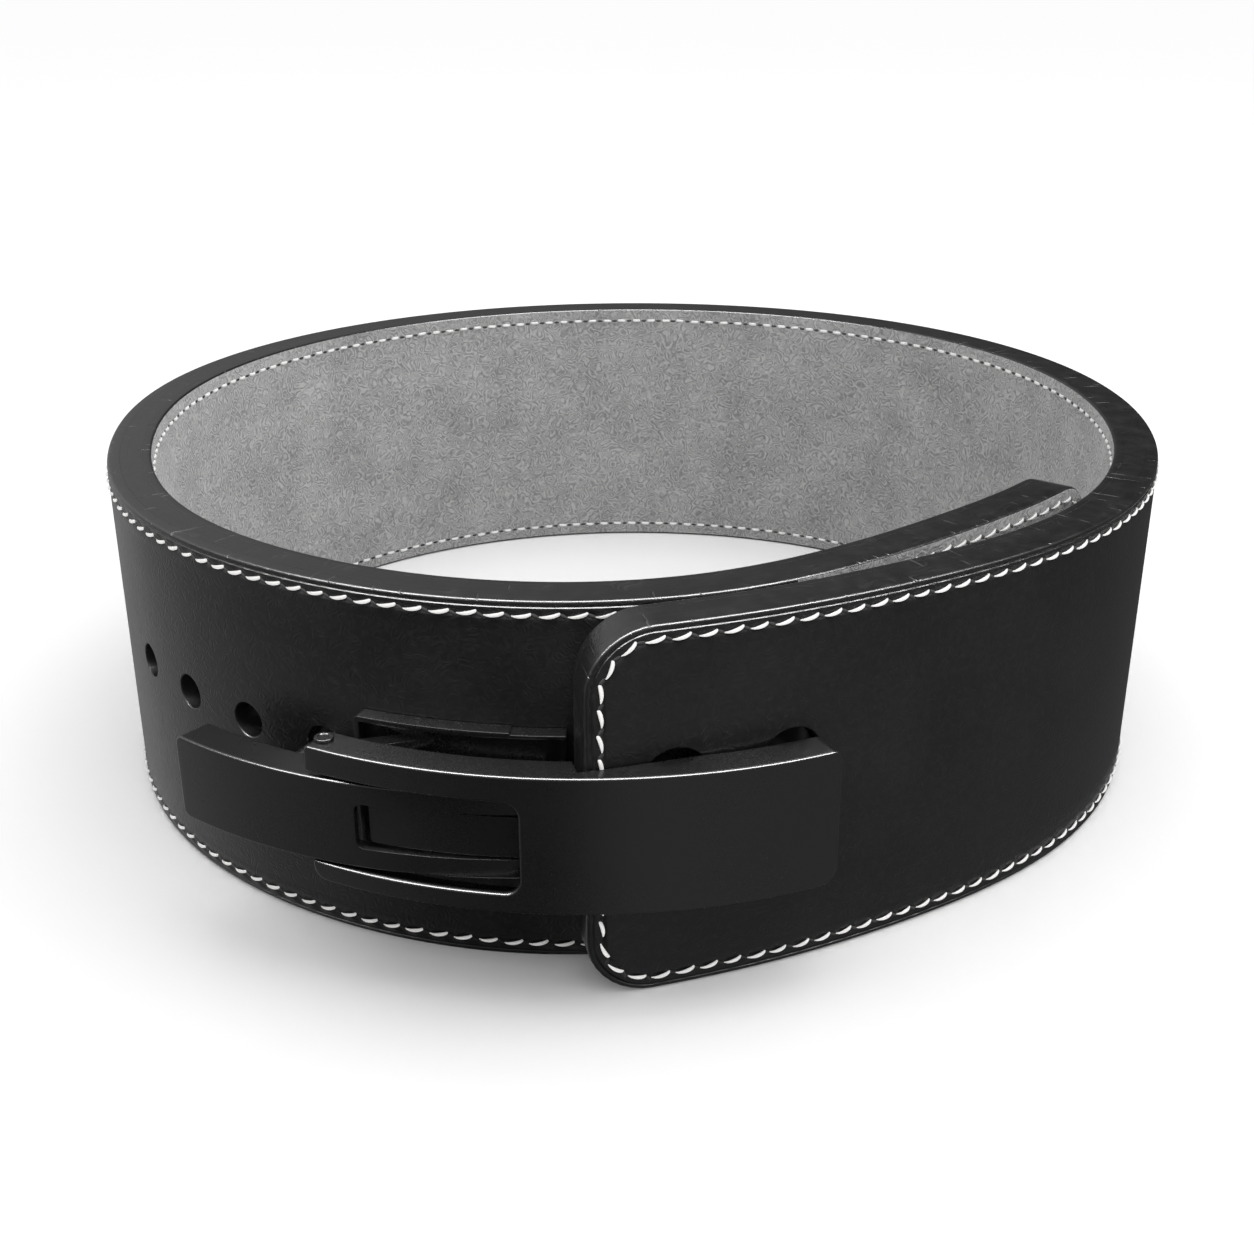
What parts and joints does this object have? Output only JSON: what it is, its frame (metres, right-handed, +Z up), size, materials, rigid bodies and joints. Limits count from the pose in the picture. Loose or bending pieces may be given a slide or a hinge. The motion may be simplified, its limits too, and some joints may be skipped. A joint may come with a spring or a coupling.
{
  "type": "weightlifting belt",
  "caption": "Thick leather lifting belt closed in a loop, with a hinged lever buckle on its front and a suede lining.",
  "frame": {"origin": "on the floor under the middle of the whole box of the closed belt with its lever shut", "axes": "+Z up across the strap's width, -Y towards the lever, +X to the right as seen from the lever's side"},
  "size_m": [0.3338, 0.357, 0.1],
  "materials": {
    "black_leather": "smooth black leather with a soft sheen and a very fine grain",
    "edge_paint": "black painted leather edge with fine ply lines",
    "grey_suede": "grey suede with a short mottled nap",
    "black_steel": "satin black coated steel, brighter on its edges"
  },
  "bodies": {
    "belt": {"outer_leather": "black_leather", "core_leather": "edge_paint", "suede_lining": "grey_suede", "tail_suede_facing": "grey_suede", "hook_plate": "black_steel", "base_plate": "black_steel", "link_pin": "black_steel", "mount_post_1": "black_steel", "mount_post_2": "black_steel"},
    "lever": {"lever": "black_steel", "pivot_pin_upper": "black_steel", "pivot_pin_lower": "black_steel"}
  },
  "joints": [
    {"name": "lever_hinge", "type": "hinge", "parent": "belt", "child": "lever", "pos_m": [-0.0756, -0.15823, 0.0463], "axis": [0, 0, -1], "range_deg": [0, 140]}
  ]
}
